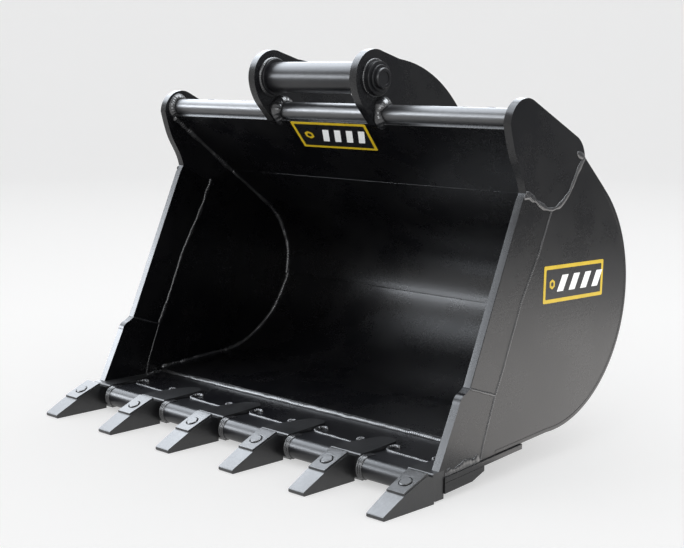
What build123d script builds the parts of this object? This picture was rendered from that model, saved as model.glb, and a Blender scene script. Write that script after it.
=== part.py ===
from build123d import *
import math
import os

# Excavator bucket, welded from plate, 950 mm wide over its sides, with six teeth.
# Millimetres. +X across the bucket, -Y out of the mouth, +Z up.
# The origin is on the ground, centred under the bucket, whose teeth lie flat on the ground.
# A side profile is drawn in (y, z) and extruded along X.

# ---- Overall ----
half_width = 475.0
side_thickness = 16.0
side_inner = half_width - side_thickness

# ---- Shell: one rolled plate from the lip, round the back, to the top bar ----
shell_centre = (108.0, 306.0)
shell_radius = 251.0
shell_thickness = 8.0
floor_slope = 3.0
floor_front = -62.0
bar_gap = 10.0

# ---- Top bar, the round bar across the top of the mouth ----
bar_centre = (4.0, 638.0)
bar_radius = 17.0

# ---- Inner plates: they close a box section behind the top of the shell ----
inner_slope = 37.2
inner_thickness = 8.0
seam_y = 161.0
join_angle = -32.0
join_overlap = 18.0

# ---- Side pieces ----
cutter_foot = (-137.0, 181.0)
cutter_head = (5.0, 493.0)
cutter_seam = [(96.0, 472.0), (61.0, 401.0), (9.0, 317.0), (-44.0, 198.0), (-65.0, 156.0)]
cutter_top = (96.0, 500.0)
gusset_foot = (14.0, 507.0)
gusset_head_centre = (13.0, 625.0)
gusset_head_radius = 48.0
gusset_head_back = 63.6
gusset_head_front = 176.0
gusset_shoulder = (170.0, 600.8)
gusset_back_bulge = (190.0, 584.5)
gusset_heel = (199.0, 561.0)
tail_angle = 50.0
tail_root_angle = 66.0
tail_root = (175.0, 538.0)
tail_overlap = 4.0
gusset_scallop = [(168.0, 523.0), (140.0, 489.0), (96.0, 472.0), (51.0, 487.0)]
gusset_front_curve = [(0.0, 542.0), (-15.0, 568.0), (-27.0, 600.0)]
corner_toe = (-219.0, 52.0)
corner_step_foot = (-166.0, 157.0)
corner_step_middle = (-159.5, 168.5)
corner_step_head = (-149.0, 174.0)
corner_back_knee = (-98.0, 73.0)
corner_seam_y = -105.0

# ---- Lip: 3 mm wider than the sides, as a ledge for their outer welds ----
lip_half_width = 478.0
lip_front = -206.0
lip_rear = 16.0
lip_thickness = 10.0
edge_rear = -96.0
edge_thickness = 19.0
edge_bevel_length = 34.0
edge_bevel_height = 10.0

# ---- Teeth, adapters and shrouds ----
tooth_count = 6
tooth_pitch = 182.0
tooth_rear = -235.0
tooth_rear_height = 46.0
tooth_tip = -359.0
tooth_tip_height = 6.5
tooth_tip_bevel = 2.0
tooth_nose_height = 8.5
tooth_tip_half_width = 18.4
tooth_rear_half_width = 23.0
pad_rear = (-252.0, 57.0)
pad_front = (-309.0, 35.5)
pad_inset = 1.5
pad_height = 4.0
pad_chamfer = 3.0
pocket_clearance = 0.5
nose_front = -298.0
nose_shoulder = -270.0
nose_bottom = 10.0
nose_rear_top = 40.0
nose_shoulder_top = 33.0
nose_front_top = 20.0
nose_rear_half_width = 15.0
nose_front_half_width = 11.0
pin_place = (-282.0, 45.7)
pin_tilt = 20.6
pin_head_radius = 11.0
pin_head_rise = 2.0
pin_head_chamfer = 1.2
pin_groove_radius = 13.0
pin_groove_depth = 3.0
pin_shank_radius = 7.0
pin_shank_length = 34.0
adapter_half_width = 36.0
adapter_top = 52.0
adapter_bottom = 2.0
adapter_chamfer = 6.0
adapter_top_chamfer = 2.0
strap_rear = -110.0
strap_rear_half_width = 24.0
strap_rear_rise = 4.0
shroud_radius = 20.5
shroud_axis_height = 28.0
shroud_flange_rear = -166.0
shroud_flange_rise = 2.5

# ---- Hanger ears and pins ----
ear_inner = 130.0
ear_thickness = 17.5
ear_outer = ear_inner + ear_thickness
front_pin_centre = (-18.0, 705.0)
ear_head_radius = 54.5
link_bore_centre = (225.0, 590.0)
ear_head_back = 68.0
ear_head_front = 190.0
ear_crest = (52.0, 741.0)
ear_back_upper = (150.0, 711.0)
ear_back_middle = (235.0, 643.0)
ear_back_lower = (298.0, 542.0)
ear_back_toe = (322.0, 438.0)
ear_throat = (-63.0, 669.0)
ear_hook_front = (-44.0, 643.5)
ear_hook_foot = (-22.0, 620.0)
ear_hook_curve = (-13.0, 612.5)
ear_hook_touch = 12.0
ear_inner_high = (40.0, 610.0)
ear_inner_low = (240.0, 440.0)
pin_radius = 22.5
running_clearance = 0.05
bore_radius = pin_radius + running_clearance
inner_boss_radius = 37.0
inner_boss_length = 8.0
outer_boss_radius = 32.5
outer_boss_length = 11.0
end_gap = 0.4
sleeve_radius = 30.5
washer_radius = 25.5
washer_length = 4.5
pin_end_radius = 20.0
pin_end_length = 7.5
pin_chamfer = 2.0
pin_recess_radius = 13.0
pin_recess_depth = 1.5

# ---- Stickers ----
sticker_thickness = 0.6
side_sticker_centre = (173.5, 331.0)
side_sticker_size = (197.0, 69.0)
side_sticker_tilt = -2.0
front_sticker_width = 205.0
front_sticker_height = 90.0
front_sticker_top = 3.0
front_sticker_x = 9.0
front_sticker_skew = -28.5


def polar(centre, radius, degrees):
    """Point on a circle in the side profile."""
    angle = math.radians(degrees)
    return (centre[0] + radius * math.cos(angle), centre[1] + radius * math.sin(angle))


def arc(centre, radius, start, end):
    """Arc of a circle from one angle to another, in degrees."""
    middle = (start + end) / 2
    return ThreePointArc(
        polar(centre, radius, start),
        polar(centre, radius, middle),
        polar(centre, radius, end),
    )


def closed(*edges):
    """Face inside a closed run of edges."""
    return make_face(Wire(list(edges)))


def polygon(*points):
    """Face with straight sides."""
    return make_face(Polyline(*points, close=True))


def slab(profile, x_low, x_high):
    """Side profile extruded along X from x_low to x_high."""
    return extrude(Plane.YZ.offset(x_low) * profile, amount=x_high - x_low)


def rod(centre, radius, x_low, x_high):
    """Round bar along X."""
    return slab(Pos(*centre) * Circle(radius), x_low, x_high)


def ring(centre, outer, inner, x_low, x_high):
    """Round tube along X."""
    return rod(centre, outer, x_low, x_high) - rod(centre, inner, x_low - 1, x_high + 1)


def mirrored(shape):
    """The same shape on the other side of the bucket."""
    return mirror(shape, about=Plane.YZ)


def save(name, *solids):
    """Write one node, with each solid kept separate."""
    shape = Compound(children=list(solids)) if len(solids) > 1 else solids[0]
    shape.label = name
    export_step(shape, "parts/" + name + ".step")


def save_pair(name, right):
    """Write a right-hand piece and its mirror image."""
    save(name + "_right", right)
    save(name + "_left", mirrored(right))


# ---- Geometry shared by the shell, lip and side pieces ----

floor_angle = -90 - floor_slope
floor_tangent = polar(shell_centre, shell_radius, floor_angle)
slope_rise = math.tan(math.radians(floor_slope))


def floor_underside(y):
    """Height of the plane under the floor plate, which is also the top of the lip plate."""
    return floor_tangent[1] - (floor_tangent[0] - y) * slope_rise


bar_offset = (bar_centre[0] - shell_centre[0], bar_centre[1] - shell_centre[1])
bar_distance = math.hypot(*bar_offset)
bar_direction = math.degrees(math.atan2(bar_offset[1], bar_offset[0]))
top_angle = bar_direction - math.degrees(math.acos((shell_radius - bar_radius) / bar_distance))
top_direction = (-math.sin(math.radians(top_angle)), math.cos(math.radians(top_angle)))


def shell_top(radius):
    """End of the straight top of the shell, short of the top bar by bar_gap."""
    start = polar(shell_centre, radius, top_angle)
    reach = bar_distance * math.sin(math.radians(bar_direction - top_angle)) - bar_gap
    return (start[0] + reach * top_direction[0], start[1] + reach * top_direction[1])


def shell_floor(radius, y):
    """Point on the straight floor at a given y, for the shell's outer or inner radius."""
    return (y, floor_underside(y) + (shell_radius - radius) / math.cos(math.radians(floor_slope)))


shell_inner_radius = shell_radius - shell_thickness


def make_wrapper():
    outer_end = shell_top(shell_radius)
    inner_end = shell_top(shell_inner_radius)
    outer_lip = shell_floor(shell_radius, floor_front)
    inner_lip = shell_floor(shell_inner_radius, floor_front)
    profile = closed(
        Line(outer_lip, floor_tangent),
        arc(shell_centre, shell_radius, floor_angle, top_angle),
        Line(polar(shell_centre, shell_radius, top_angle), outer_end),
        Line(outer_end, inner_end),
        Line(inner_end, polar(shell_centre, shell_inner_radius, top_angle)),
        arc(shell_centre, shell_inner_radius, top_angle, floor_angle),
        Line(polar(shell_centre, shell_inner_radius, floor_angle), inner_lip),
        Line(inner_lip, outer_lip),
    )
    return slab(profile, -half_width, half_width)


# ---- Inner plates ----

inner_normal = (math.sin(math.radians(inner_slope)), math.cos(math.radians(inner_slope)))
inner_along = (math.cos(math.radians(inner_slope)), -math.sin(math.radians(inner_slope)))
inner_depth = bar_radius + inner_thickness
inner_top = (
    bar_centre[0] - inner_depth * inner_normal[0],
    bar_centre[1] - inner_depth * inner_normal[1],
)
seam_run = (seam_y - inner_top[0]) / inner_along[0]
inner_seam = (seam_y, inner_top[1] + seam_run * inner_along[1])


def behind(point):
    """The point on the back face of an inner plate, opposite one on its front face."""
    return (
        point[0] + inner_thickness * inner_normal[0],
        point[1] + inner_thickness * inner_normal[1],
    )


# The curved part is tangent to the straight part and to the inside of the shell at join_angle.
join_factor = math.cos(math.radians(join_angle - (90 - inner_slope)))
line_distance = (
    (inner_seam[0] - shell_centre[0]) * inner_normal[0]
    + (inner_seam[1] - shell_centre[1]) * inner_normal[1]
)
bend_radius = (line_distance - shell_inner_radius * join_factor) / (1 - join_factor)
bend_centre = polar(shell_centre, shell_inner_radius - bend_radius, join_angle)


def make_top_plate():
    profile = polygon(inner_top, inner_seam, behind(inner_seam), behind(inner_top))
    return slab(profile, -side_inner, side_inner)


def make_inner_plate(wrapper):
    start = 90 - inner_slope
    end = join_angle + join_overlap
    back_radius = bend_radius + inner_thickness
    profile = closed(
        Line(inner_seam, polar(bend_centre, bend_radius, start)),
        arc(bend_centre, bend_radius, start, end),
        Line(polar(bend_centre, bend_radius, end), polar(bend_centre, back_radius, end)),
        arc(bend_centre, back_radius, end, start),
        Line(polar(bend_centre, back_radius, start), behind(inner_seam)),
        Line(behind(inner_seam), inner_seam),
    )
    return slab(profile, -side_inner, side_inner) - wrapper


# ---- Lip plate and cutting edge ----

def make_lip_plate():
    profile = polygon(
        (lip_front, floor_underside(lip_front)),
        (lip_rear, floor_underside(lip_rear)),
        (lip_rear, floor_underside(lip_rear) - lip_thickness),
        (lip_front, floor_underside(lip_front) - lip_thickness),
    )
    return slab(profile, -lip_half_width, lip_half_width)


def edge_underside(y):
    return floor_underside(y) - lip_thickness - edge_thickness


def make_cutting_edge():
    """Thick plate under the front of the lip, bevelled at its rear bottom edge."""
    bevel_start = edge_rear - edge_bevel_length
    profile = polygon(
        (lip_front, floor_underside(lip_front) - lip_thickness),
        (edge_rear, floor_underside(edge_rear) - lip_thickness),
        (edge_rear, edge_underside(edge_rear) + edge_bevel_height),
        (bevel_start, edge_underside(bevel_start)),
        (lip_front, edge_underside(lip_front)),
    )
    return slab(profile, -lip_half_width, lip_half_width)


# ---- Side pieces, right-hand side ----

def make_gusset():
    """Corner gusset: a rounded head round the end of the top bar, and a scalloped lower edge."""
    head_back = polar(gusset_head_centre, gusset_head_radius, gusset_head_back)
    head_front = polar(gusset_head_centre, gusset_head_radius, gusset_head_front)
    profile = closed(
        Line(head_back, gusset_shoulder),
        ThreePointArc(gusset_shoulder, gusset_back_bulge, gusset_heel),
        Spline(gusset_heel, *gusset_scallop, gusset_foot),
        Spline(gusset_foot, *gusset_front_curve, head_front),
        arc(gusset_head_centre, gusset_head_radius, gusset_head_front, gusset_head_back),
    )
    return slab(profile, side_inner, half_width)


def make_side_blank():
    """The whole side up to the shell's inside, before the front pieces are taken off."""
    inner_end = shell_top(shell_inner_radius)
    inner_floor = shell_floor(shell_inner_radius, floor_front)
    profile = closed(
        Line((lip_front, floor_underside(lip_front)), (floor_front, floor_underside(floor_front))),
        Line((floor_front, floor_underside(floor_front)), inner_floor),
        Line(inner_floor, polar(shell_centre, shell_inner_radius, floor_angle)),
        arc(shell_centre, shell_inner_radius, floor_angle, top_angle),
        Line(polar(shell_centre, shell_inner_radius, top_angle), inner_end),
        Line(inner_end, gusset_foot),
        Line(gusset_foot, cutter_head),
        Line(cutter_head, cutter_foot),
        Line(cutter_foot, (lip_front, floor_underside(lip_front))),
    )
    return slab(profile, side_inner, half_width)


def make_side_tail(extra):
    """Back corner of the side plate, which stands above the shell; extra widens it, to cut the shell."""
    root_radius = shell_inner_radius - tail_overlap
    profile = polygon(
        (gusset_heel[0] + extra, gusset_heel[1] + extra),
        polar(shell_centre, shell_radius + extra, tail_angle),
        polar(shell_centre, root_radius, tail_angle),
        polar(shell_centre, root_radius, tail_root_angle),
        tail_root,
    )
    return slab(profile, side_inner, half_width)


def make_cutter(gusset):
    profile = polygon(cutter_foot, cutter_head, gusset_foot, cutter_top, *cutter_seam)
    return slab(profile, side_inner, half_width) - gusset


def make_lower_corner():
    """Heavy lower corner plate, with a rounded step at the top of its front edge."""
    seam_bottom = (corner_seam_y, floor_underside(corner_seam_y))
    lip_corner = (lip_front, floor_underside(lip_front))
    gap_top = (lip_front, corner_toe[1])
    profile = closed(
        Line(cutter_foot, cutter_seam[-1]),
        Line(cutter_seam[-1], corner_back_knee),
        Line(corner_back_knee, seam_bottom),
        Line(seam_bottom, lip_corner),
        Line(lip_corner, gap_top),
        Line(gap_top, corner_toe),
        Line(corner_toe, corner_step_foot),
        ThreePointArc(corner_step_foot, corner_step_middle, corner_step_head),
        Line(corner_step_head, cutter_foot),
    )
    return slab(profile, side_inner, half_width)


# ---- Tooth adapters, teeth, pins and shrouds, made at x = 0 and moved into place ----

def flat_plan(points, z_low, z_high):
    """Plan outline in (x, y) extruded upwards."""
    face = make_face(Polyline(*points, close=True))
    return extrude(Pos(0, 0, z_low) * face, amount=z_high - z_low)


def make_nose(clearance):
    """Tapered nose that fills the tooth, with the clearance added all round."""
    front = nose_front - clearance
    bottom = nose_bottom - clearance
    side = polygon(
        (tooth_rear, bottom),
        (tooth_rear, nose_rear_top + clearance),
        (nose_shoulder, nose_shoulder_top + clearance),
        (front, nose_front_top + clearance),
        (front, bottom),
    )
    wide = nose_rear_half_width + clearance
    narrow = nose_front_half_width + clearance
    plan = [(-wide, tooth_rear), (wide, tooth_rear), (narrow, front), (-narrow, front)]
    return slab(side, -wide, wide) & flat_plan(plan, 0, 100)


def make_adapter():
    body = slab(
        polygon(
            (tooth_rear, adapter_bottom + adapter_chamfer),
            (tooth_rear + adapter_chamfer, adapter_bottom),
            (lip_front, adapter_bottom),
            (lip_front, adapter_top),
            (tooth_rear + adapter_top_chamfer, adapter_top),
            (tooth_rear, adapter_top - adapter_top_chamfer),
        ),
        -adapter_half_width,
        adapter_half_width,
    )
    strap_side = slab(
        polygon(
            (lip_front, floor_underside(lip_front)),
            (lip_front, adapter_top),
            (strap_rear, floor_underside(strap_rear) + strap_rear_rise),
            (strap_rear, floor_underside(strap_rear)),
        ),
        -adapter_half_width,
        adapter_half_width,
    )
    round_centre = strap_rear - strap_rear_half_width
    outline = Wire(
        [
            Line((-adapter_half_width, lip_front), (adapter_half_width, lip_front)),
            Line((adapter_half_width, lip_front), (strap_rear_half_width, round_centre)),
            ThreePointArc(
                (strap_rear_half_width, round_centre),
                (0, strap_rear),
                (-strap_rear_half_width, round_centre),
            ),
            Line((-strap_rear_half_width, round_centre), (-adapter_half_width, lip_front)),
        ]
    )
    strap = strap_side & extrude(make_face(outline), amount=100)
    return body + strap + make_nose(0)


pin_frame = Pos(0, *pin_place) * Rot(X=pin_tilt)


def make_tooth_pin():
    """Pin square to the pad: a low head above it and a shank down into the adapter nose."""
    head = Cylinder(
        pin_head_radius,
        pin_groove_depth + pin_head_rise,
        align=(Align.CENTER, Align.CENTER, Align.MAX),
    )
    head = chamfer(head.faces().sort_by(Axis.Z)[-1].edges(), pin_head_chamfer)
    head = pin_frame * Pos(0, 0, pin_head_rise) * head
    shank = pin_frame * Cylinder(
        pin_shank_radius, pin_shank_length, align=(Align.CENTER, Align.CENTER, Align.MAX)
    )
    return head + shank


def tooth_plan(inset):
    """Plan of the tooth, which narrows towards the tip, drawn in by an inset on both sides."""
    rear = tooth_rear_half_width - inset
    front = tooth_tip_half_width - inset
    return [(-rear, tooth_rear), (rear, tooth_rear), (front, tooth_tip), (-front, tooth_tip)]


def make_tooth():
    """Pointed tooth, hollow at the back, with a raised pad round its pin."""
    pad_rear_foot = (pad_rear[0], pad_rear[1] - pad_height)
    pad_front_foot = (pad_front[0], pad_front[1] - pad_height)
    pad_back = pad_rear[0] + pad_chamfer
    body_side = polygon(
        (tooth_tip, tooth_tip_height),
        (tooth_tip, tooth_tip_bevel),
        (tooth_tip + tooth_tip_bevel, 0.0),
        (tooth_rear, 0.0),
        (tooth_rear, tooth_rear_height),
        pad_rear_foot,
        pad_front_foot,
        (tooth_tip + tooth_tip_bevel, tooth_nose_height),
    )
    pad_side = polygon(
        pad_rear_foot,
        (pad_back, pad_rear_foot[1] - pad_height / 2),
        (pad_back, pad_rear[1]),
        pad_rear,
        pad_front,
        pad_front_foot,
    )
    wide = tooth_rear_half_width
    body = slab(body_side, -wide, wide) & flat_plan(tooth_plan(0), -1, 100)
    pad = slab(pad_side, -wide, wide) & flat_plan(tooth_plan(pad_inset), -1, 100)
    groove = pin_frame * Cylinder(
        pin_groove_radius, pin_groove_depth, align=(Align.CENTER, Align.CENTER, Align.MAX)
    )
    return body + pad - groove - make_nose(pocket_clearance)


def make_shroud():
    """Round bar on the lip's front edge between two adapters, with a flange over the lip."""
    axis_y = lip_front - shroud_radius
    bottom = shroud_axis_height - shroud_radius
    profile = closed(
        ThreePointArc(
            (axis_y, bottom),
            (axis_y - shroud_radius, shroud_axis_height),
            (axis_y, shroud_axis_height + shroud_radius),
        ),
        Line(
            (axis_y, shroud_axis_height + shroud_radius),
            (shroud_flange_rear, floor_underside(shroud_flange_rear) + shroud_flange_rise),
        ),
        Line(
            (shroud_flange_rear, floor_underside(shroud_flange_rear) + shroud_flange_rise),
            (shroud_flange_rear, floor_underside(shroud_flange_rear)),
        ),
        Line(
            (shroud_flange_rear, floor_underside(shroud_flange_rear)),
            (lip_front, floor_underside(lip_front)),
        ),
        Line((lip_front, floor_underside(lip_front)), (lip_front, edge_underside(lip_front))),
        Line((lip_front, edge_underside(lip_front)), (axis_y, bottom)),
    )
    return slab(profile, -tooth_pitch / 2, tooth_pitch / 2)


# ---- Hanger ears ----

def make_ear(*welded_to):
    """Hanger ear, cut to fit over the top bar and the back of the shell."""
    hook_end = (
        inner_top[0] + ear_hook_touch * inner_along[0],
        inner_top[1] + ear_hook_touch * inner_along[1],
    )
    profile = closed(
        arc(front_pin_centre, ear_head_radius, ear_head_back, ear_head_front),
        ThreePointArc(
            polar(front_pin_centre, ear_head_radius, ear_head_front), ear_throat, ear_hook_front
        ),
        Line(ear_hook_front, ear_hook_foot),
        ThreePointArc(ear_hook_foot, ear_hook_curve, hook_end),
        Line(hook_end, behind(hook_end)),
        Line(behind(hook_end), ear_inner_high),
        Line(ear_inner_high, ear_inner_low),
        Line(ear_inner_low, ear_back_toe),
        ThreePointArc(ear_back_toe, ear_back_lower, ear_back_middle),
        ThreePointArc(ear_back_middle, ear_back_upper, ear_crest),
        Line(ear_crest, polar(front_pin_centre, ear_head_radius, ear_head_back)),
    )
    ear = slab(profile, ear_inner, ear_outer)
    inside = slab(
        closed(
            arc(shell_centre, shell_inner_radius, -60, top_angle),
            Line(polar(shell_centre, shell_inner_radius, top_angle), shell_top(shell_inner_radius)),
            Line(shell_top(shell_inner_radius), bar_centre),
            Line(bar_centre, behind(inner_top)),
            Line(behind(inner_top), polar(shell_centre, shell_inner_radius, -60)),
        ),
        0,
        2 * ear_outer,
    )
    ear = ear - inside
    for piece in welded_to:
        ear = ear - piece
    for centre in (front_pin_centre, link_bore_centre):
        ear = ear - rod(centre, bore_radius, 0, 2 * ear_outer)
    return ear


def make_inner_boss(centre):
    return ring(centre, inner_boss_radius, bore_radius, ear_inner - inner_boss_length, ear_inner)


def make_outer_boss(centre):
    return ring(centre, outer_boss_radius, bore_radius, ear_outer, ear_outer + outer_boss_length)


# ---- Front pin, sleeve and washers ----

washer_start = ear_outer + outer_boss_length + end_gap
pin_end = washer_start + washer_length + pin_end_length


def make_front_pin():
    """Cross pin with a stepped end outside each ear, for the washer."""
    pin = rod(front_pin_centre, pin_radius, -washer_start, washer_start)
    pin = pin + rod(front_pin_centre, pin_end_radius, -pin_end, pin_end)
    pin = chamfer(pin.faces().sort_by(Axis.X)[-1].edges(), pin_chamfer)
    pin = chamfer(pin.faces().sort_by(Axis.X)[0].edges(), pin_chamfer)
    recess = rod(front_pin_centre, pin_recess_radius, pin_end - pin_recess_depth, pin_end + 1)
    return pin - recess - mirrored(recess)


def make_pin_sleeve():
    reach = ear_inner - inner_boss_length - end_gap
    return ring(front_pin_centre, sleeve_radius, bore_radius, -reach, reach)


def make_pin_washer():
    washer_end = washer_start + washer_length
    return ring(front_pin_centre, washer_radius, pin_end_radius, washer_start, washer_end)


# ---- Stickers ----

def make_side_sticker():
    face = Pos(*side_sticker_centre) * Rot(Z=side_sticker_tilt) * Rectangle(*side_sticker_size)
    return slab(face, half_width, half_width + sticker_thickness)


def make_front_sticker():
    """Slanted sticker on the front of the top plate, just under the top bar."""
    top_centre = (
        front_sticker_x,
        inner_top[0] + front_sticker_top * inner_along[0],
        inner_top[1] + front_sticker_top * inner_along[1],
    )
    plane = Plane(
        origin=top_centre,
        x_dir=(1, 0, 0),
        z_dir=(0, -inner_normal[0], -inner_normal[1]),
    )
    half = front_sticker_width / 2
    down = front_sticker_height
    outline = [
        (-half, 0),
        (half, 0),
        (half + front_sticker_skew, down),
        (front_sticker_skew - half, down),
    ]
    direction = -1 if plane.y_dir.Z > 0 else 1
    face = make_face(Polyline(*[(x, direction * y) for x, y in outline], close=True))
    return extrude(plane * face, amount=sticker_thickness)


# ---- Build and write every node ----

os.makedirs("parts", exist_ok=True)

gusset = make_gusset()
tail_notch = make_side_tail(tail_overlap)
wrapper = make_wrapper() - gusset - mirrored(gusset) - tail_notch - mirrored(tail_notch)
top_bar = rod(bar_centre, bar_radius, -side_inner, side_inner)
wrapper = wrapper - top_bar
top_plate = make_top_plate()
inner_plate = make_inner_plate(wrapper)
cutter = make_cutter(gusset)
lower_corner = make_lower_corner()
side_plate = make_side_blank() + make_side_tail(0) - gusset - cutter - lower_corner

save("wrapper", wrapper)
save("top_plate", top_plate)
save("inner_plate", inner_plate)
save("top_bar", top_bar)
save("lip_plate", make_lip_plate())
save("cutting_edge", make_cutting_edge())
save_pair("side_plate", side_plate)
save_pair("side_cutter", cutter)
save_pair("lower_corner", lower_corner)
save_pair("corner_gusset", gusset)

save_pair("hanger_ear", make_ear(wrapper, top_bar, top_plate))
for name, centre in (("pin", front_pin_centre), ("link", link_bore_centre)):
    save_pair(name + "_inner_boss", make_inner_boss(centre))
    save_pair(name + "_outer_boss", make_outer_boss(centre))
save("front_pin", make_front_pin())
save("pin_sleeve", make_pin_sleeve())
save_pair("pin_washer", make_pin_washer())

tooth_places = [tooth_pitch * (index - (tooth_count - 1) / 2) for index in range(tooth_count)]
adapter = make_adapter() - make_tooth_pin()
tooth = make_tooth() - make_tooth_pin()
shroud = make_shroud()
corners = lower_corner + mirrored(lower_corner)
wide_lip = Box(2 * half_width, 1000, 1000)
for number, x in enumerate(tooth_places, start=1):
    placed_adapter = (Pos(x, 0, 0) * adapter) & wide_lip
    save("tooth_adapter_" + str(number), placed_adapter - corners)
    save("tooth_" + str(number), Pos(x, 0, 0) * tooth)
save("tooth_pins", *[Pos(x, 0, 0) * make_tooth_pin() for x in tooth_places])
for number in range(1, tooth_count):
    left = tooth_places[number - 1] + adapter_half_width
    right = tooth_places[number] - adapter_half_width
    span = Pos((left + right) / 2, 0, 0) * Box(right - left, 1000, 1000)
    save("lip_shroud_" + str(number), (Pos((left + right) / 2, 0, 0) * shroud) & span)

save_pair("side_sticker", make_side_sticker())
save("front_sticker", make_front_sticker())
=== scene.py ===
import math
import random

import bmesh
import bpy
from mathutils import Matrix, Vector


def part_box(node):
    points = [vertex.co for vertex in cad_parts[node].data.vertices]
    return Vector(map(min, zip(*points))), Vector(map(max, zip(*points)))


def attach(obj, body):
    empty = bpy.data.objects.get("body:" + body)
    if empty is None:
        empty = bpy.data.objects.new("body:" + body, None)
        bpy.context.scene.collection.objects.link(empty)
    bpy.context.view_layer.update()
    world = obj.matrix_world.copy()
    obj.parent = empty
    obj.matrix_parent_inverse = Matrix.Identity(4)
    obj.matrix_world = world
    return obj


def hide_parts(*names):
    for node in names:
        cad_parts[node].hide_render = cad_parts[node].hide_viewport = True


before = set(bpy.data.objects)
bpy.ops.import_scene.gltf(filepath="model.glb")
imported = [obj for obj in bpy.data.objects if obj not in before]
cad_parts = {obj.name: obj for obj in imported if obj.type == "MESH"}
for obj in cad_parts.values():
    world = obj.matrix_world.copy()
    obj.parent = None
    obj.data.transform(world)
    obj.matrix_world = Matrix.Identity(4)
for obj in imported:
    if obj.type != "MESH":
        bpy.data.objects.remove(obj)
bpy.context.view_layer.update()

MM = 0.001
ACROSS = Vector((1, 0, 0))
UP = Vector((0, 0, 1))
BACK = Vector((0, 1, 0))


# ---- Camera ----

camera_data = bpy.data.cameras.new("camera")
camera = bpy.data.objects.new("camera", camera_data)
bpy.context.scene.collection.objects.link(camera)
camera.location = (1.81165, -1.87309, 0.73104)
camera.rotation_euler = (math.radians(80.869), 0.0, math.radians(43.352))
camera_data.lens = 68.73
camera_data.sensor_width = 36.0
bpy.context.scene.camera = camera
bpy.context.scene.view_settings.view_transform = "Standard"


# ---- Light ----

def softbox(name, place, target, width, height, radiance, colour=(1, 1, 1)):
    """Area light at place that faces target, with an even radiance, unseen by the camera itself."""
    data = bpy.data.lights.new(name, "AREA")
    data.shape = "RECTANGLE"
    data.size = width
    data.size_y = height
    data.energy = radiance * math.pi * width * height
    data.color = colour
    lamp = bpy.data.objects.new(name, data)
    bpy.context.scene.collection.objects.link(lamp)
    lamp.location = place
    direction = Vector(target) - Vector(place)
    lamp.rotation_euler = direction.to_track_quat("-Z", "Y").to_euler()
    lamp.visible_camera = False
    return lamp


world = bpy.data.worlds.new("studio")
bpy.context.scene.world = world
world.use_nodes = True
backdrop_light = world.node_tree.nodes["Background"]
backdrop_light.inputs["Color"].default_value = (0.985, 0.99, 1.0, 1)
backdrop_light.inputs["Strength"].default_value = 0.66

# Name, place, target, width, height, radiance and colour.
SOFTBOXES = [
    softbox("back_left", (-2.2, 0.9, 1.8), (0.0, -0.2, 0.3), 4.2, 2.8, 4.5, (0.86, 0.92, 1.0)),
    softbox("top_left", (-1.6, -0.35, 2.5), (0.2, -0.3, 0.0), 2.2, 1.8, 4.6, (0.86, 0.92, 1.0)),
    softbox("left_front", (-1.9, -1.6, 0.95), (0.3, 0.3, 0.3), 1.7, 0.6, 14.0, (0.88, 0.93, 1.0)),
    softbox("overhead", (0.7, 0.7, 2.9), (0.1, 0.1, 0.4), 2.0, 2.0, 10.0, (0.9, 0.95, 1.0)),
    softbox("front_left", (-1.8, -2.0, 1.3), (0.0, -0.1, 0.4), 2.2, 1.5, 3.8, (0.86, 0.92, 1.0)),
    softbox("near_camera", (2.5, -2.5, 1.5), (0.0, 0.0, 0.4), 2.0, 1.6, 5.0, (0.95, 0.97, 1.0)),
    softbox("right_floor", (1.0, 0.72, 0.001), (1.0, 0.721, 1.0), 1.4, 1.4, 1.35, (1.0, 0.96, 0.93)),
]


# ---- Floor ----

FLOOR_RINGS = [1.0, 3.0]
FLOOR_FLAT = 6.0
FLOOR_BEND = 3.0
FLOOR_BEND_STEPS = 12
FLOOR_SIDES = 96
FLOOR_WALL_TOP = 7.0
FLOOR_DROP = 0.0003
FLOOR_GREY = 0.62
GLOW = 0.51
GLOW_NEAR = 1.5
GLOW_FAR = 6.0
GLOW_FAR_LEVEL = 0.69

FLAG_MIDDLE = Vector((1.65, 1.35, 0.0))
FLAG_HALF = Vector((0.71, -0.70, 0)) * 0.95
FLAG_BOTTOM = UP * 0.12
FLAG_TOP = UP * 1.4
FLAG_GREY = 0.08


def plain_material(name, grey, roughness):
    material = bpy.data.materials.new(name)
    material.use_nodes = True
    shader = material.node_tree.nodes["Principled BSDF"]
    shader.inputs["Base Color"].default_value = (grey, grey, grey, 1)
    shader.inputs["Roughness"].default_value = roughness
    return material, shader


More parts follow.
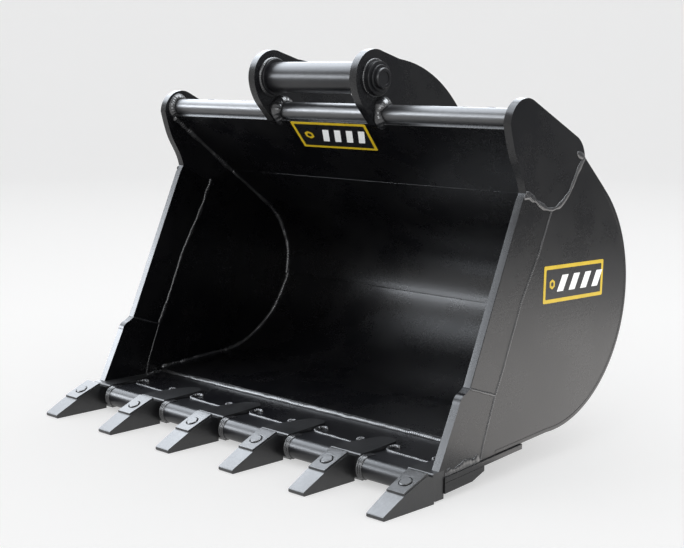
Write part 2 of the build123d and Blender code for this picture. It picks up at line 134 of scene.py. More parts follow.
def make_stage():
    """Plain pale round floor that sweeps up into a backdrop on every side."""
    profile = [(radius, 0.0) for radius in FLOOR_RINGS]
    for i in range(FLOOR_BEND_STEPS + 1):
        angle = math.pi / 2 * i / FLOOR_BEND_STEPS
        reach = FLOOR_FLAT + FLOOR_BEND * math.sin(angle)
        profile.append((reach, FLOOR_BEND - FLOOR_BEND * math.cos(angle)))
    profile.append((FLOOR_FLAT + FLOOR_BEND, FLOOR_WALL_TOP))
    verts = [Vector((0, 0, 0))]
    for radius, z in profile:
        for k in range(FLOOR_SIDES):
            turn = 2 * math.pi * k / FLOOR_SIDES
            verts.append(Vector((radius * math.cos(turn), radius * math.sin(turn), z)))
    faces = [(0, 1 + k, 1 + (k + 1) % FLOOR_SIDES) for k in range(FLOOR_SIDES)]
    for i in range(len(profile) - 1):
        inner, outer = 1 + i * FLOOR_SIDES, 1 + (i + 1) * FLOOR_SIDES
        for k in range(FLOOR_SIDES):
            following = (k + 1) % FLOOR_SIDES
            faces.append((inner + k, outer + k, outer + following, inner + following))
    mesh = bpy.data.meshes.new("floor")
    mesh.from_pydata([tuple(v) for v in verts], [], faces)
    mesh.polygons.foreach_set("use_smooth", [True] * len(faces))
    floor = bpy.data.objects.new("floor", mesh)
    floor.location.z = -FLOOR_DROP
    bpy.context.scene.collection.objects.link(floor)
    material, shader = plain_material("paper", FLOOR_GREY, 0.9)
    shader.inputs["Specular IOR Level"].default_value = 0.2
    tree = material.node_tree
    place = tree.nodes.new("ShaderNodeTexCoord")
    distance = tree.nodes.new("ShaderNodeVectorMath")
    distance.operation = "LENGTH"
    tree.links.new(place.outputs["Object"], distance.inputs[0])
    fade = tree.nodes.new("ShaderNodeMapRange")
    fade.inputs["From Min"].default_value = GLOW_NEAR
    fade.inputs["From Max"].default_value = GLOW_FAR
    fade.inputs["To Min"].default_value = 1.0
    fade.inputs["To Max"].default_value = GLOW_FAR_LEVEL
    tree.links.new(distance.outputs["Value"], fade.inputs["Value"])
    tree.links.new(fade.outputs["Result"], shader.inputs["Emission Color"])
    shader.inputs["Emission Strength"].default_value = GLOW
    mesh.materials.append(material)
    return floor


def make_flag():
    """Dark card beside the bucket, seen only in its glossy paint, that keeps the upper side dark."""
    low, high = FLAG_MIDDLE + FLAG_BOTTOM, FLAG_MIDDLE + FLAG_TOP
    corners = [low - FLAG_HALF, low + FLAG_HALF, high + FLAG_HALF, high - FLAG_HALF]
    mesh = bpy.data.meshes.new("flag")
    mesh.from_pydata([tuple(c) for c in corners], [], [(0, 1, 2, 3)])
    material, _ = plain_material("felt", FLAG_GREY, 1.0)
    mesh.materials.append(material)
    flag = bpy.data.objects.new("flag", mesh)
    bpy.context.scene.collection.objects.link(flag)
    flag.visible_camera = False
    flag.visible_diffuse = False
    flag.visible_shadow = False


floor = make_stage()
make_flag()


def unlit_by(lamp, objects):
    """The lamp lights everything except these objects."""
    unlit = bpy.data.collections.new("unlit_by_" + lamp.name)
    for one in objects:
        unlit.objects.link(one)
    for entry in unlit.collection_objects:
        entry.light_linking.link_state = "EXCLUDE"
    lamp.light_linking.receiver_collection = unlit


def nodes_named(*beginnings):
    return [node for name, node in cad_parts.items() if name.startswith(beginnings)]


narrow_edges = nodes_named("hanger_ear", "corner_gusset")
inner_faces = [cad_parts[name] for name in ("wrapper", "inner_plate", "top_plate")]
side_faces = nodes_named("side_plate", "side_cutter", "lower_corner")
for lamp in SOFTBOXES:
    # The floor is lit by its own glow and the world alone.
    shaded = [floor]
    if lamp.name in ("left_front", "front_left"):
        shaded += narrow_edges
    if lamp.name == "front_left":
        shaded += inner_faces + [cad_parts["pin_sleeve"]]
    if lamp.name == "near_camera":
        shaded += inner_faces + side_faces
    unlit_by(lamp, shaded)


# ---- Materials ----

class Nodes:
    """Short calls for one material's nodes."""

    def __init__(self, material):
        self.tree = material.node_tree
        self.tree.nodes.clear()
        coordinates = self.tree.nodes.new("ShaderNodeTexCoord")
        self.place = coordinates.outputs["Object"]

    def new(self, kind, **settings):
        node = self.tree.nodes.new(kind)
        for key, value in settings.items():
            setattr(node, key, value)
        return node

    def put(self, value, socket):
        if isinstance(value, bpy.types.NodeSocket):
            self.tree.links.new(value, socket)
        else:
            socket.default_value = value

    def math(self, operation, first, second=0.5):
        node = self.new("ShaderNodeMath", operation=operation)
        self.put(first, node.inputs[0])
        self.put(second, node.inputs[1])
        return node.outputs[0]

    def scaled(self, x, y, z):
        node = self.new("ShaderNodeMapping")
        self.put(self.place, node.inputs["Vector"])
        node.inputs["Scale"].default_value = (x, y, z)
        return node.outputs["Vector"]

    def noise(self, scale, detail=3.0, vector=None, roughness=0.55):
        node = self.new("ShaderNodeTexNoise")
        self.put(vector if vector is not None else self.place, node.inputs["Vector"])
        node.inputs["Scale"].default_value = scale
        node.inputs["Detail"].default_value = detail
        node.inputs["Roughness"].default_value = roughness
        return node.outputs["Fac"]

    def spread(self, value, low, high, to_low, to_high):
        node = self.new("ShaderNodeMapRange")
        self.put(value, node.inputs["Value"])
        node.inputs["From Min"].default_value = low
        node.inputs["From Max"].default_value = high
        node.inputs["To Min"].default_value = to_low
        node.inputs["To Max"].default_value = to_high
        return node.outputs["Result"]

    def mix(self, factor, first, second):
        node = self.new("ShaderNodeMix", data_type="RGBA")
        self.put(factor, node.inputs["Factor"])
        self.put(first, node.inputs["A"])
        self.put(second, node.inputs["B"])
        return node.outputs["Result"]

    def bump(self, height, distance, strength, below=None):
        node = self.new("ShaderNodeBump")
        self.put(height, node.inputs["Height"])
        node.inputs["Distance"].default_value = distance
        node.inputs["Strength"].default_value = strength
        if below is not None:
            self.put(below, node.inputs["Normal"])
        return node.outputs["Normal"]

    def finish(self, colour, roughness, normal, specular=0.5):
        shader = self.new("ShaderNodeBsdfPrincipled")
        self.put(colour, shader.inputs["Base Color"])
        self.put(roughness, shader.inputs["Roughness"])
        self.put(normal, shader.inputs["Normal"])
        shader.inputs["Specular IOR Level"].default_value = specular
        output = self.new("ShaderNodeOutputMaterial")
        self.tree.links.new(shader.outputs["BSDF"], output.inputs["Surface"])


def make_material(name):
    material = bpy.data.materials.new(name)
    material.use_nodes = True
    return material, Nodes(material)


def paint(name, dark, light, roughness, peel, dents=0.0, streaks=0.0, specular=0.5):
    """Black paint over steel: orange peel, faint dents or rolling marks, and uneven gloss and dust.

    Each pair of colours or roughnesses is the two ends that the paint wanders between.
    """
    material, n = make_material(name)
    clouds = n.noise(7.0, 4.0)
    fine = n.noise(260.0, 3.0)
    dust = n.math("MULTIPLY", n.noise(28.0, 5.0, roughness=0.7), clouds)
    colour = n.mix(n.spread(dust, 0.15, 0.45, 0.0, 1.0), dark, light)
    gloss = n.math("ADD", clouds, n.math("MULTIPLY", fine, 0.35))
    rough = n.spread(gloss, 0.4, 0.85, *roughness)
    normal = n.bump(fine, 0.0004, peel)
    if dents:
        normal = n.bump(n.noise(60.0, 4.0, roughness=0.6), 0.0012, dents, normal)
    if streaks:
        marks = n.noise(6.0, 5.0, n.scaled(1.0, 0.7, 26.0), roughness=0.65)
        normal = n.bump(marks, 0.0006, streaks, normal)
    n.finish(colour, rough, normal, specular)
    return material


PLATE = paint(
    "plate_black_paint", (0.002, 0.002, 0.0028, 1), (0.005, 0.0048, 0.0052, 1), (0.20, 0.32),
    peel=0.2, streaks=0.10,
)
CAST = paint(
    "cast_black_paint", (0.005, 0.005, 0.0055, 1), (0.012, 0.012, 0.0125, 1), (0.26, 0.40),
    peel=0.35, dents=0.3, specular=0.8,
)
TURNED = paint(
    "turned_black_paint", (0.004, 0.004, 0.005, 1), (0.010, 0.010, 0.011, 1), (0.24, 0.36),
    peel=0.18, specular=0.4,
)
BAR = paint(
    "bar_black_paint", (0.006, 0.006, 0.007, 1), (0.014, 0.014, 0.015, 1), (0.28, 0.42),
    peel=0.18, specular=1.0,
)
WELD = paint(
    "weld_black_paint", (0.008, 0.008, 0.009, 1), (0.02, 0.02, 0.021, 1), (0.20, 0.32),
    peel=0.3, dents=0.15, specular=1.0,
)

CAST_EDGE = 0.0018
PLATE_EDGE = 0.0009
SHARP_ANGLE = math.radians(28)
JOIN_DISTANCE = 0.00001

for name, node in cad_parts.items():
    if name.startswith("tooth"):
        material = CAST
    elif name == "top_bar":
        material = BAR
    elif name.startswith(("pin_", "link_", "front_pin", "lip_shroud")):
        material = TURNED
    else:
        material = PLATE
    for place in node.material_slots:
        place.material = material
    weld = node.modifiers.new("join", "WELD")
    weld.merge_threshold = JOIN_DISTANCE
    bevel = node.modifiers.new("edges", "BEVEL")
    bevel.width = CAST_EDGE if material == CAST else PLATE_EDGE
    bevel.segments = 2
    bevel.limit_method = "ANGLE"
    bevel.angle_limit = SHARP_ANGLE
    bevel.harden_normals = False
    shading = node.modifiers.new("shading", "WEIGHTED_NORMAL")
    shading.keep_sharp = False
    shading.weight = 80


# ---- Weld beads ----

# Down to at(), lengths are in millimetres and angles in degrees, and a pair is a (y, z) place.
SIDE_OUTER = 475.0
SIDE_INNER = 459.0
SEAM_END = 452.0
REAR_SEAM_END = 470.0
EAR_INNER = 130.0
EAR_OUTER = 147.5
FLOOR_FRONT = -62.0
LIP_FRONT = -204.0
LIP_REAR = 16.0
EDGE_REAR = -96.0
LIP_THICKNESS = 10.0
LIP_POINT = (94.864, 55.344)
LIP_SLOPE = math.tan(math.radians(3.0))
SHELL_CENTRE = (108.0, 306.0)
SHELL_RADIUS = 251.0
TOP_ANGLE = 60.1
BAR_CENTRE = (4.0, 638.0)
BAR_RADIUS = 17.0
PIN_CENTRE = (-18.0, 705.0)
LINK_CENTRE = (225.0, 590.0)
TOP_PLATE_NORMAL = Vector((0, -0.6046, -0.7965))
PLATE_THICKNESS = 8.0
TEETH = 6
TOOTH_PITCH = 182.0
TOOTH_AXIS = (-226.5, 28.0)
COLLAR_RADIUS = 20.5
COLLAR_OFFSETS = (38.5, 43.0, 47.5)
COLLAR_FOOT = (-208.0, 47.6)
OUTER_BOSS_RADIUS = 32.5
INNER_BOSS_RADIUS = 37.0

plate_low, plate_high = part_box("top_plate")
PLATE_TOP = (plate_low.y / MM, plate_high.z / MM + PLATE_THICKNESS * TOP_PLATE_NORMAL.z)
PLATE_SEAM = (plate_high.y / MM + PLATE_THICKNESS * TOP_PLATE_NORMAL.y, plate_low.z / MM)


def at(x, y, z):
    """Point from millimetres."""
    return Vector((x, y, z)) * MM


def lip_top(y):
    return LIP_POINT[1] - (LIP_POINT[0] - y) * LIP_SLOPE


def on_lip(x, y):
    return at(x, y, lip_top(y))


def circle_points(x, centre, radius, start, end, count=64):
    points = []
    for i in range(count + 1):
        angle = math.radians(start + (end - start) * i / count)
        points.append(at(x, centre[0] + radius * math.cos(angle), centre[1] + radius * math.sin(angle)))
    return points


def face_outline(node, x):
    """The longest closed outline of a CAD node's flat face at one x."""
    x = x * MM
    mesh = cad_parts[node].data
    used = {}
    for polygon in mesh.polygons:
        corners = [mesh.vertices[i].co for i in polygon.vertices]
        if any(abs(c.x - x) > 0.00005 for c in corners):
            continue
        keys = [(round(c.y, 6), round(c.z, 6)) for c in corners]
        for i in range(len(keys)):
            pair = frozenset((keys[i], keys[i - 1]))
            used[pair] = used.get(pair, 0) + 1
    links = {}
    for pair, count in used.items():
        if count == 1 and len(pair) == 2:
            first, second = tuple(pair)
            links.setdefault(first, []).append(second)
            links.setdefault(second, []).append(first)
    best = []
    left = set(links)
    for start in sorted(links):
        if start not in left:
            continue
        loop = [start]
        left.discard(start)
        while True:
            following = [p for p in sorted(links[loop[-1]]) if p in left]
            if not following:
                break
            loop.append(following[0])
            left.discard(following[0])
        if len(loop) > len(best):
            best = loop
    return [Vector((x, y, z)) for y, z in best]


def stretch(loop, start, end, through):
    """Part of a closed outline between two corners, the way that passes nearest to a third point."""
    def nearest(place):
        y, z = place[0] * MM, place[1] * MM
        return min(range(len(loop)), key=lambda i: (loop[i].y - y) ** 2 + (loop[i].z - z) ** 2)

    first, last = nearest(start), nearest(end)
    count = len(loop)
    ways = []
    for turn in (1, -1):
        way = [loop[first]]
        i = first
        while i != last:
            i = (i + turn) % count
            way.append(loop[i])
        ways.append(way)
    middle = at(0, *through)

    def miss(way):
        gaps = []
        for p, q in zip(way, way[1:]):
            a, b = Vector((0, p.y, p.z)), Vector((0, q.y, q.z))
            t = max(0.0, min(1.0, (middle - a).dot(b - a) / max((b - a).length_squared, 1e-12)))
            gaps.append((a + (b - a) * t - middle).length)
        return min(gaps)

    return min(ways, key=miss)


def moved_to(points, x):
    return [Vector((x * MM, p.y, p.z)) for p in points]


def resampled(path, step):
    """Points a step apart along a path, with the direction of travel at each."""
    lengths = [0.0]
    for p, q in zip(path, path[1:]):
        lengths.append(lengths[-1] + (q - p).length)
    total = lengths[-1]
    count = max(4, int(total / step))
    places = []
    k = 0
    for i in range(count + 1):
        s = total * i / count
        while k < len(path) - 2 and lengths[k + 1] < s:
            k += 1
        run = max(lengths[k + 1] - lengths[k], 1e-9)
        places.append(path[k].lerp(path[k + 1], (s - lengths[k]) / run))
    smooth = list(places)
    for i in range(1, len(places) - 1):
        smooth[i] = (places[i - 1] + places[i] * 2 + places[i + 1]) / 4
    travel = []
    for i in range(len(smooth)):
        ahead = smooth[min(i + 2, len(smooth) - 1)]
        behind = smooth[max(i - 2, 0)]
        travel.append((ahead - behind).normalized())
    return smooth, travel, total


class Wander:
    """Smooth random value along a bead, from -1 to 1."""

    def __init__(self, dice, total, spacing):
        self.spacing = spacing
        self.values = [dice.uniform(-1, 1) for _ in range(int(total / spacing) + 4)]

    def at(self, s):
        place = s / self.spacing
        i = int(place)
        t = place - i
        t = t * t * (3 - 2 * t)
        return self.values[i] * (1 - t) + self.values[i + 1] * t


class Beads:
    """One mesh piece made of several weld beads. Its constants are in metres."""

    STRIPS = 8
    WIDTH_SPACING = 0.013
    DRIFT_SPACING = 0.019
    LUMP_SPACING = 0.007
    DRIFT = 0.12
    RIPPLE_BOW = 0.42
    ROOT_DEPTH = 0.0006
    CLOSING_RUN = 0.01

    def __init__(self, name, seed):
        self.name = name
        self.dice = random.Random(seed)
        self.verts = []
        self.faces = []

    def add(
        self, path, one, two, legs=(5.0, 5.0), rise=1.4, pitch=4.2, ripple=0.35, rough=0.14, closed=False
    ):
        """A bead along the corner between two surfaces whose outward normals are one and two.

        The legs are its reach along each surface, rise its height, pitch and ripple its waves,
        and rough how much its width wanders.
        """
        legs = (legs[0] * MM, legs[1] * MM)
        pitch = pitch * MM
        points, travel, total = resampled(path, pitch / 5)
        width = Wander(self.dice, total, self.WIDTH_SPACING)
        drift = Wander(self.dice, total, self.DRIFT_SPACING)
        lump = Wander(self.dice, total, self.LUMP_SPACING)
        start = self.dice.uniform(0, 1)
        end_run = 1.1 * max(legs)
        base = len(self.verts)
        rings = 0
        for i, (p, t) in enumerate(zip(points, travel)):
            s = total * i / (len(points) - 1)
            n1 = (one(p, t) if callable(one) else one).normalized()
            n2 = (two(p, t) if callable(two) else two).normalized()
            if n1.dot(n2) > 0.98:
                a = n1.cross(t).normalized()
                b = -a
            else:
                a = (n2 - n1 * n1.dot(n2)).normalized()
                b = (n1 - n2 * n1.dot(n2)).normalized()
            out = (n1 + n2).normalized()
            from_end = 1.0 if closed else min(1.0, min(s, total - s) / end_run)
            tip = math.sqrt(max(0.0, 1 - (1 - from_end) ** 2)) * 0.97 + 0.03
            size = tip * (1 + rough * width.at(s))
            slip = self.DRIFT * drift.at(s)
            if closed:
                if i == len(points) - 1:
                    break
                fade = min(1.0, s / self.CLOSING_RUN, (total - s) / self.CLOSING_RUN)
                size = 1 + (size - 1) * fade
                slip *= fade
            toe_a = p + a * legs[0] * size * (1 + slip)
            toe_b = p + b * legs[1] * size * (1 - slip)
            for j in range(self.STRIPS + 1):
                v = j / self.STRIPS
                crown = 4 * v * (1 - v)
                phase = s / pitch + start + self.RIPPLE_BOW * crown
                wave = 0.5 - 0.5 * math.cos(2 * math.pi * phase)
                height = rise * MM * tip * (1 + 0.5 * rough * lump.at(s)) * crown
                height += ripple * MM * tip * (wave - 0.5) * min(1.0, 2.2 * crown)
                self.verts.append(toe_a.lerp(toe_b, v) + out * height)
            self.verts.append(p - out * self.ROOT_DEPTH)
            rings += 1
        ring = self.STRIPS + 2
        for i in range(rings if closed else rings - 1):
            first = base + i * ring
            second = base + ((i + 1) % rings) * ring
            for j in range(ring):
                k = (j + 1) % ring
                self.faces.append((first + j, first + k, second + k, second + j))
        if not closed:
            self.faces.append(tuple(base + j for j in reversed(range(ring))))
            last = base + (rings - 1) * ring
            self.faces.append(tuple(last + j for j in range(ring)))

    def both_sides(self, path, one, two, **settings):
        """The bead and its mirror image, one on each side of the bucket."""
        def mirror(v):
            return Vector((-v.x, v.y, v.z))

        def flipped(normal):
            if callable(normal):
                return lambda p, t: mirror(normal(mirror(p), mirror(t)))
            return mirror(normal)

        self.add(path, one, two, **settings)
        self.add([mirror(p) for p in path], flipped(one), flipped(two), **settings)

    def make(self, material=None):
        mesh = bpy.data.meshes.new(self.name)
        mesh.from_pydata([tuple(v) for v in self.verts], [], self.faces)
        mesh.validate()
        mesh.polygons.foreach_set("use_smooth", [True] * len(mesh.polygons))
        mesh.materials.append(material or WELD)
        piece = bpy.data.objects.new(self.name, mesh)
        bpy.context.scene.collection.objects.link(piece)
        cleaner = bmesh.new()
        cleaner.from_mesh(mesh)
        bmesh.ops.recalc_face_normals(cleaner, faces=cleaner.faces)
        cleaner.to_mesh(mesh)
        cleaner.free()
        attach(piece, "bucket")


INSIDE = at(0, 100, 300)


def shell_inward(p, t):
    """Normal of a surface that runs along x and faces the middle of the bucket's inside."""
    n = t.cross(ACROSS)
    return n if n.dot(INSIDE - p) > 0 else -n


def shell_outward(p, t):
    return -shell_inward(p, t)


def away_from(centre):
    def normal(p, t):
        return Vector((0, p.y - centre[0] * MM, p.z - centre[1] * MM)).normalized()
    return normal


gusset_edge = face_outline("corner_gusset_right", SIDE_OUTER)
cutter_edge = face_outline("side_cutter_right", SIDE_OUTER)
corner_edge = face_outline("lower_corner_right", SIDE_OUTER)
shell_edge = face_outline("wrapper", SIDE_OUTER)
inner_edge = face_outline("inner_plate", SIDE_INNER)

scallop = stretch(gusset_edge, (199, 561), (14, 507), (140, 489))
cutter_seam = stretch(cutter_edge, (96, 472), (-65, 156), (9, 317))
corner_seam = stretch(corner_edge, (-137, 181), (-65, 156), (-100, 169))
corner_back = stretch(corner_edge, (-65, 156), (-105, lip_top(-105)), (-98, 73))
corner_path = corner_seam[:-1] + corner_back
gusset_front = [at(SIDE_OUTER, 30, 499), at(SIDE_OUTER, 8, 500)]
gusset_heel = [at(SIDE_OUTER, 172, 570), at(SIDE_OUTER, 196, 560)]
lip_end = [on_lip(SIDE_OUTER, LIP_FRONT), on_lip(SIDE_OUTER, -106)]
fine_seam = dict(legs=(2.6, 2.6), rise=1.5, ripple=0.3, pitch=3.4)
lip_weld = dict(legs=(13.0, 2.1), rise=1.1, ripple=0.3, rough=0.3, pitch=9.0)

outer = Beads("outer_side_welds", 11)
outer.both_sides(scallop, ACROSS, ACROSS, legs=(5.0, 5.0), rise=2.0, ripple=0.8, rough=0.45)
outer.both_sides(cutter_seam, ACROSS, ACROSS, **fine_seam)
outer.both_sides(corner_path, ACROSS, ACROSS, **fine_seam)
outer.both_sides(lip_end, ACROSS, UP, **lip_weld)
outer.both_sides(gusset_front, ACROSS, ACROSS, legs=(5.0, 5.0), rise=2.0, rough=0.3)
outer.both_sides(gusset_heel, ACROSS, ACROSS, legs=(5.5, 5.5), rise=2.3, rough=0.3)
outer.make()

shell_run = stretch(shell_edge, (FLOOR_FRONT, 55.1), (343, 240), (300, 155))
plate_run = stretch(inner_edge, (335, 227), PLATE_SEAM, (320, 340))
shell_path = moved_to(shell_run + plate_run, SIDE_INNER)
top_path = [at(SIDE_INNER, *PLATE_SEAM), at(SIDE_INNER, *PLATE_TOP)]
lip_side = [on_lip(SIDE_INNER, -60), on_lip(SIDE_INNER, LIP_FRONT)]
top_weld = dict(legs=(7.0, 7.0), rise=1.8, ripple=0.7, rough=0.3, pitch=5.5)
cutter_weld = dict(legs=(4.5, 4.5), rise=2.5, ripple=0.8, rough=0.35)
corner_weld = dict(legs=(2.0, 2.0), rise=0.8, ripple=0.2, pitch=3.4)

inside = Beads("inner_side_welds", 12)
inside.both_sides(shell_path, -ACROSS, shell_inward, legs=(6.0, 6.0), rise=1.8, ripple=0.6, rough=0.2)
inside.both_sides(top_path, -ACROSS, TOP_PLATE_NORMAL, **top_weld)
inside.both_sides(moved_to(cutter_seam, SIDE_INNER), -ACROSS, -ACROSS, **cutter_weld)
inside.both_sides(moved_to(corner_path, SIDE_INNER), -ACROSS, -ACROSS, **corner_weld)
inside.both_sides(lip_side, -ACROSS, UP, legs=(5.0, 5.0), rise=1.0)
inside.make()

floor_path = [on_lip(-SEAM_END, FLOOR_FRONT), on_lip(SEAM_END, FLOOR_FRONT)]
floor_weld = Beads("floor_weld", 13)
floor_weld.add(floor_path, UP, -BACK, legs=(4.4, 6.0), rise=1.6, ripple=0.4, rough=0.1, pitch=5.0)
floor_weld.make()

seam_path = [at(-SEAM_END, *PLATE_SEAM), at(SEAM_END, *PLATE_SEAM)]
seam_bead = dict(legs=(1.8, 1.8), rise=0.5, ripple=0.12, pitch=3.6)
seam = Beads("plate_seam_weld", 14)
seam.add(seam_path, TOP_PLATE_NORMAL, TOP_PLATE_NORMAL, **seam_bead)
seam.make(PLATE)

# Each shroud's flange has a hooked bead at one side and a small curl at the other, as (x from the
# tooth to its left, y) places.
HOOK = [
    (46, -137), (38, -135), (31, -139), (29, -148), (32, -158),
    (40, -165), (60, -167), (110, -169), (156, -171),
]
CURL = [(133, -152), (132, -145), (138, -140), (145, -143), (145, -151), (140, -156)]
teeth = [TOOTH_PITCH * (i - (TEETH - 1) / 2) for i in range(TEETH)]
lip = Beads("shroud_welds", 15)
for x in teeth[:-1]:
    hook = [on_lip(x + along, y) for along, y in HOOK]
    lip.add(hook, UP, UP, legs=(5.0, 5.0), rise=5.0, ripple=0.8, rough=0.2, pitch=5.0)
    curl = [on_lip(x + along, y) for along, y in CURL]
    lip.add(curl, UP, UP, legs=(4.5, 4.5), rise=5.0, ripple=0.8, rough=0.2)
lip.make()

collars = Beads("shroud_collars", 16)
around = away_from(TOOTH_AXIS)
for x in teeth[:-1]:
    for offset in COLLAR_OFFSETS:
        path = circle_points(x + offset, TOOTH_AXIS, COLLAR_RADIUS, 262, 96, 40)
        path.append(at(x + offset, *COLLAR_FOOT))
        collars.add(path, around, around, legs=(2.7, 2.7), rise=2.1, ripple=0.15, rough=0.12)
collars.make()

ear_sides = ((EAR_INNER, -1), (EAR_OUTER, 1))
top_angle = math.radians(TOP_ANGLE)
top_normal = Vector((0, math.cos(top_angle), math.sin(top_angle)))
bar_end = circle_points(SIDE_INNER, BAR_CENTRE, BAR_RADIUS, 0, 360)
bar_groove = [at(-458, 18.5, 646.8), at(458, 18.5, 646.8)]
end_weld = dict(legs=(11.0, 9.0), rise=2.5, ripple=0.6, rough=0.2, closed=True)
ear_weld = dict(legs=(13.0, 15.0), rise=3.5, ripple=0.8, rough=0.3, pitch=6.0, closed=True)
groove_weld = dict(legs=(9.0, 8.0), rise=3.0, ripple=0.7, rough=0.25, pitch=5.0)

bar = Beads("bar_welds", 17)
around = away_from(BAR_CENTRE)
bar.both_sides(bar_end, -ACROSS, around, **end_weld)
for x, way in ear_sides:
    ring = circle_points(x, BAR_CENTRE, BAR_RADIUS, 0, 360)
    bar.both_sides(ring, ACROSS * way, around, **ear_weld)
bar.add(bar_groove, top_normal, around, **groove_weld)
bar.make()

outer_boss_weld = dict(legs=(4.5, 1.5), rise=0.8, ripple=0.3, closed=True)
inner_boss_weld = dict(legs=(4.0, 3.5), rise=0.7, ripple=0.3, closed=True)
bosses = Beads("boss_welds", 18)
for centre in (PIN_CENTRE, LINK_CENTRE):
    around = away_from(centre)
    ring = circle_points(EAR_OUTER, centre, OUTER_BOSS_RADIUS, 0, 360, 96)
    bosses.both_sides(ring, ACROSS, around, **outer_boss_weld)
    ring = circle_points(EAR_INNER, centre, INNER_BOSS_RADIUS, 0, 360, 96)
    bosses.both_sides(ring, -ACROSS, around, **inner_boss_weld)
bosses.make()

shell_back = [at(0, 40.0, 634.3)] + circle_points(0, SHELL_CENTRE, SHELL_RADIUS, TOP_ANGLE, 32.0, 48)
side_back = moved_to(shell_back[:20], SIDE_INNER)
under = lip_top(EDGE_REAR) - LIP_THICKNESS
edge_path = [at(-REAR_SEAM_END, EDGE_REAR, under), at(REAR_SEAM_END, EDGE_REAR, under)]
lip_path = [on_lip(-REAR_SEAM_END, LIP_REAR), on_lip(REAR_SEAM_END, LIP_REAR)]
ear_back_weld = dict(legs=(6.5, 6.5), rise=1.3, ripple=0.5, rough=0.2, pitch=5.0)
side_back_weld = dict(legs=(5.5, 5.5), rise=1.2, ripple=0.45, rough=0.2, pitch=5.0)
under_weld = dict(legs=(7.0, 7.0), rise=1.2, ripple=0.5, pitch=5.0)

rear = Beads("rear_welds", 19)
for x, way in ear_sides:
    rear.both_sides(moved_to(shell_back, x), ACROSS * way, shell_outward, **ear_back_weld)
rear.both_sides(side_back, -ACROSS, shell_outward, **side_back_weld)
rear.add(edge_path, BACK, -UP, **under_weld)
rear.add(lip_path, BACK, -UP, **under_weld)
rear.make()


# ---- Stickers ----

def flat_colour(name, colour, roughness):
    material, n = make_material(name)
    grain = n.noise(90.0, 4.0)
    worn = tuple(0.88 * c for c in colour[:3]) + (1,)
    shade = n.mix(n.spread(n.noise(30.0, 4.0), 0.35, 0.7, 0.0, 1.0), colour, worn)
    rough = n.spread(grain, 0.3, 0.7, roughness - 0.05, roughness + 0.07)
    n.finish(shade, rough, n.bump(grain, 0.0002, 0.08))
    return material


YELLOW = flat_colour("sticker_yellow", (0.55, 0.38, 0.015, 1), 0.33)
BLACK = flat_colour("sticker_black", (0.008, 0.008, 0.009, 1), 0.3)
WHITE = flat_colour("sticker_white", (0.82, 0.82, 0.8, 1), 0.33)
STICKER_MATERIALS = (YELLOW, BLACK, WHITE)
STICKER_BORDER = 7.0
STICKER_THICKNESS = 0.6
SIDE_STICKER = (197.0, 69.0)
SIDE_STICKER_TILT = math.radians(-2.0)
FRONT_STICKER = (205.0, 90.0)
FRONT_STICKER_SHEAR = 28.5


def rounded(width, height, radius, steps=5):
    """Corners of a rounded box round the middle."""
    points = []
    for sx, sy, begin in ((1, 1, 0), (-1, 1, 90), (-1, -1, 180), (1, -1, 270)):
        for i in range(steps + 1):
            angle = math.radians(begin + 90 * i / steps)
            x = sx * (width / 2 - radius) + radius * math.cos(angle)
            y = sy * (height / 2 - radius) + radius * math.sin(angle)
            points.append((x, y))
    return points


def hexagon(radius, x, y):
    angles = [math.radians(60 * k + 30) for k in range(6)]
    return [(x + radius * math.cos(a), y + radius * math.sin(a)) for a in angles]


def leaning_bar(x, y, width, height, lean):
    return [
        (x - width / 2 - lean / 2, y - height / 2),
        (x + width / 2 - lean / 2, y - height / 2),
        (x + width / 2 + lean / 2, y + height / 2),
        (x - width / 2 + lean / 2, y + height / 2),
    ]


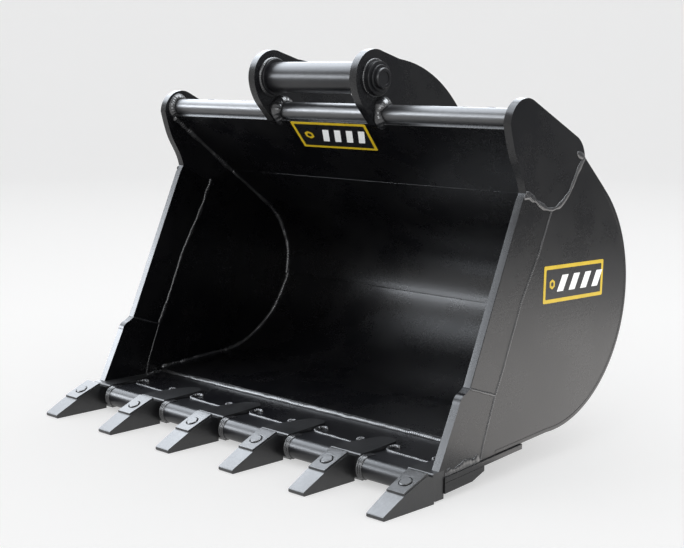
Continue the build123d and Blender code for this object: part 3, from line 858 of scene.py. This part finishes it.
def sticker(name, node, size, origin, along, up, shear=0.0):
    """Layered sticker: a yellow frame, a black field, and a plain mark of a nut and four leaning bars.

    A layer is its outline, its bottom and top as shares of the thickness, and its material's place
    in STICKER_MATERIALS.
    """
    out = along.cross(up).normalized()
    width, height = size
    inner_w, inner_h = width - 2 * STICKER_BORDER, height - 2 * STICKER_BORDER
    unit = inner_h / 55.0
    left = -inner_w / 2
    nut = left + 20 * unit
    layers = [
        (rounded(width, height, 3.0), 0.0, 0.70, 0),
        (rounded(inner_w, inner_h, 2.0), 0.5, 0.80, 1),
        (hexagon(9.5 * unit, nut, 0), 0.6, 0.90, 0),
        (hexagon(4.5 * unit, nut, 0), 0.8, 0.95, 1),
    ]
    bar_x = left + 54 * unit
    step = (inner_w / 2 - 14 * unit - bar_x) / 3
    for k in range(4):
        stripe = leaning_bar(bar_x + k * step, 0, 0.52 * step, 30 * unit, 0.42 * step)
        layers.append((stripe, 0.6, 0.93, 2))
    verts, faces, kinds = [], [], []
    for outline, low, high, kind in layers:
        base = len(verts)
        count = len(outline)
        for level in (low, high):
            for x, y in outline:
                sheared = x + shear * (y / height)
                lift = out * level * STICKER_THICKNESS
                verts.append(origin + (along * sheared + up * y + lift) * MM)
        faces.append(tuple(base + count + i for i in range(count)))
        faces.append(tuple(base + i for i in reversed(range(count))))
        for i in range(count):
            k = (i + 1) % count
            faces.append((base + i, base + k, base + count + k, base + count + i))
        kinds += [kind] * (count + 2)
    mesh = bpy.data.meshes.new(name)
    mesh.from_pydata([tuple(v) for v in verts], [], faces)
    for material in STICKER_MATERIALS:
        mesh.materials.append(material)
    mesh.polygons.foreach_set("material_index", kinds)
    piece = bpy.data.objects.new(name, mesh)
    bpy.context.scene.collection.objects.link(piece)
    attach(piece, "bucket")
    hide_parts(node)


tilt_cos, tilt_sin = math.cos(SIDE_STICKER_TILT), math.sin(SIDE_STICKER_TILT)
for side, way in (("right", 1), ("left", -1)):
    low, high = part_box("side_sticker_" + side)
    centre = (low + high) / 2
    centre.x = way * SIDE_OUTER * MM
    along = Vector((0, way * tilt_cos, way * tilt_sin))
    up = Vector((0, -tilt_sin, tilt_cos))
    sticker("side_mark_" + side, "side_sticker_" + side, SIDE_STICKER, centre, along, up)

low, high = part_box("front_sticker")
slope_up = Vector((0, TOP_PLATE_NORMAL.z, -TOP_PLATE_NORMAL.y))
centre = (low + high) / 2 - TOP_PLATE_NORMAL * (STICKER_THICKNESS / 2 * MM)
sticker("front_mark", "front_sticker", FRONT_STICKER, centre, ACROSS, slope_up, FRONT_STICKER_SHEAR)
